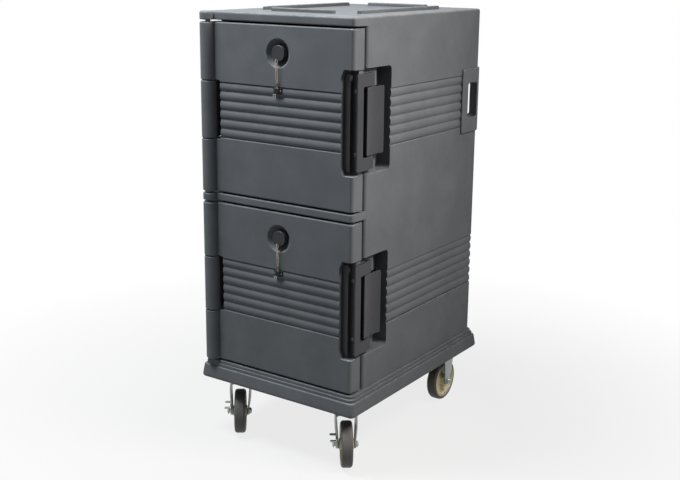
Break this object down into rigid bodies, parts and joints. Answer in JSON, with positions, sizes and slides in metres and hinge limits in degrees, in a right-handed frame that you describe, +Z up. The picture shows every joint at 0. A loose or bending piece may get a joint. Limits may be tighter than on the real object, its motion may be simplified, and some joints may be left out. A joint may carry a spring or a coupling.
{
  "type": "insulated food carrier",
  "caption": "Upright insulated food cart with stacked chambers, ribbed hinged doors with paddle latches and vent plugs, corner grips and swivel casters with brakes.",
  "frame": {"origin": "on the floor under the middle of the outline", "axes": "+Z up, +X to the right of someone facing the doors, +Y from the doors to the back"},
  "size_m": [0.528, 0.7064, 1.219],
  "materials": {
    "shell": "fine-grained moulded polyethylene, charcoal",
    "liner": "smooth moulded polyethylene, charcoal",
    "foam": "rigid closed-cell foam",
    "gasket": "soft matte",
    "black": "satin moulded nylon, black",
    "pin": "plain steel",
    "zinc": "bright zinc plate",
    "tether": "thin wire rope",
    "wheel_core": "moulded nylon, tan",
    "tread": "dark grey, worn matte"
  },
  "bodies": {
    "carrier": {"body_shell": "shell", "base_plinth": "shell", "body_foam": "foam", "upper_liner": "liner", "lower_liner": "liner", "upper_hinge_pin": "pin", "lower_hinge_pin": "pin", "caster_bolts": "zinc", "left_front_plate": "zinc", "right_front_plate": "zinc", "left_rear_fork": "zinc", "right_rear_fork": "zinc", "left_rear_axle": "zinc", "right_rear_axle": "zinc"},
    "upper_door": {"upper_door_shell": "shell", "upper_door_foam": "foam", "upper_door_panel": "liner", "upper_gasket": "gasket", "upper_vent_seat": "black", "upper_tether_clip": "black", "upper_latch_base": "black", "upper_latch_pin": "pin", "upper_latch_screws": "pin", "upper_tether": "tether"},
    "upper_latch": {"upper_latch_paddle": "black"},
    "upper_plug": {"upper_vent_plug": "black"},
    "lower_door": {"lower_door_shell": "shell", "lower_door_foam": "foam", "lower_door_panel": "liner", "lower_gasket": "gasket", "lower_vent_seat": "black", "lower_tether_clip": "black", "lower_latch_base": "black", "lower_latch_pin": "pin", "lower_latch_screws": "pin", "lower_tether": "tether"},
    "lower_latch": {"lower_latch_paddle": "black"},
    "lower_plug": {"lower_vent_plug": "black"},
    "left_front_swivel": {"left_front_fork": "zinc", "left_front_axle": "zinc"},
    "left_front_wheel": {"left_front_core": "wheel_core", "left_front_tread": "tread", "left_front_sleeve": "zinc"},
    "left_front_brake": {"left_front_brake": "zinc"},
    "left_rear_wheel": {"left_rear_core": "wheel_core", "left_rear_tread": "tread", "left_rear_sleeve": "zinc"},
    "right_front_swivel": {"right_front_fork": "zinc", "right_front_axle": "zinc"},
    "right_front_wheel": {"right_front_core": "wheel_core", "right_front_tread": "tread", "right_front_sleeve": "zinc"},
    "right_front_brake": {"right_front_brake": "zinc"},
    "right_rear_wheel": {"right_rear_core": "wheel_core", "right_rear_tread": "tread", "right_rear_sleeve": "zinc"}
  },
  "joints": [
    {"name": "upper_door_hinge", "type": "hinge", "parent": "carrier", "child": "upper_door", "pos_m": [-0.225, -0.33125, 0.9475], "axis": [0, 0, -1], "range_deg": [0, 250]},
    {"name": "upper_latch_turn", "type": "hinge", "parent": "upper_door", "child": "upper_latch", "pos_m": [0.243, -0.24375, 0.9475], "axis": [0, 0, -1], "range_deg": [0, 50]},
    {"name": "upper_vent_pull", "type": "slide", "parent": "upper_door", "child": "upper_plug", "axis": [0, -1, 0], "range_m": [0, 0.02], "deforming": ["upper_tether"]},
    {"name": "lower_door_hinge", "type": "hinge", "parent": "carrier", "child": "lower_door", "pos_m": [-0.225, -0.33125, 0.4565], "axis": [0, 0, -1], "range_deg": [0, 250]},
    {"name": "lower_latch_turn", "type": "hinge", "parent": "lower_door", "child": "lower_latch", "pos_m": [0.243, -0.24375, 0.4565], "axis": [0, 0, -1], "range_deg": [0, 50]},
    {"name": "lower_vent_pull", "type": "slide", "parent": "lower_door", "child": "lower_plug", "axis": [0, -1, 0], "range_m": [0, 0.02], "deforming": ["lower_tether"]},
    {"name": "left_front_swivel_turn", "type": "hinge", "parent": "carrier", "child": "left_front_swivel", "pos_m": [-0.187, -0.26075, 0.15], "axis": [0, 0, 1], "continuous": true},
    {"name": "left_front_wheel_spin", "type": "hinge", "parent": "left_front_swivel", "child": "left_front_wheel", "pos_m": [-0.16509, -0.28931, 0.0635], "axis": [0.7934, 0.6088, 0], "continuous": true},
    {"name": "left_front_brake_rock", "type": "hinge", "parent": "left_front_swivel", "child": "left_front_brake", "pos_m": [-0.16509, -0.28931, 0.0635], "axis": [0.7934, 0.6088, 0], "range_deg": [-12, 12]},
    {"name": "left_rear_wheel_spin", "type": "hinge", "parent": "carrier", "child": "left_rear_wheel", "pos_m": [-0.187, 0.26925, 0.0635], "axis": [1, 0, 0], "continuous": true},
    {"name": "right_front_swivel_turn", "type": "hinge", "parent": "carrier", "child": "right_front_swivel", "pos_m": [0.187, -0.26075, 0.15], "axis": [0, 0, 1], "continuous": true},
    {"name": "right_front_wheel_spin", "type": "hinge", "parent": "right_front_swivel", "child": "right_front_wheel", "pos_m": [0.20891, -0.28931, 0.0635], "axis": [0.7934, 0.6088, 0], "continuous": true},
    {"name": "right_front_brake_rock", "type": "hinge", "parent": "right_front_swivel", "child": "right_front_brake", "pos_m": [0.20891, -0.28931, 0.0635], "axis": [0.7934, 0.6088, 0], "range_deg": [-12, 12]},
    {"name": "right_rear_wheel_spin", "type": "hinge", "parent": "carrier", "child": "right_rear_wheel", "pos_m": [0.187, 0.26925, 0.0635], "axis": [1, 0, 0], "continuous": true}
  ]
}
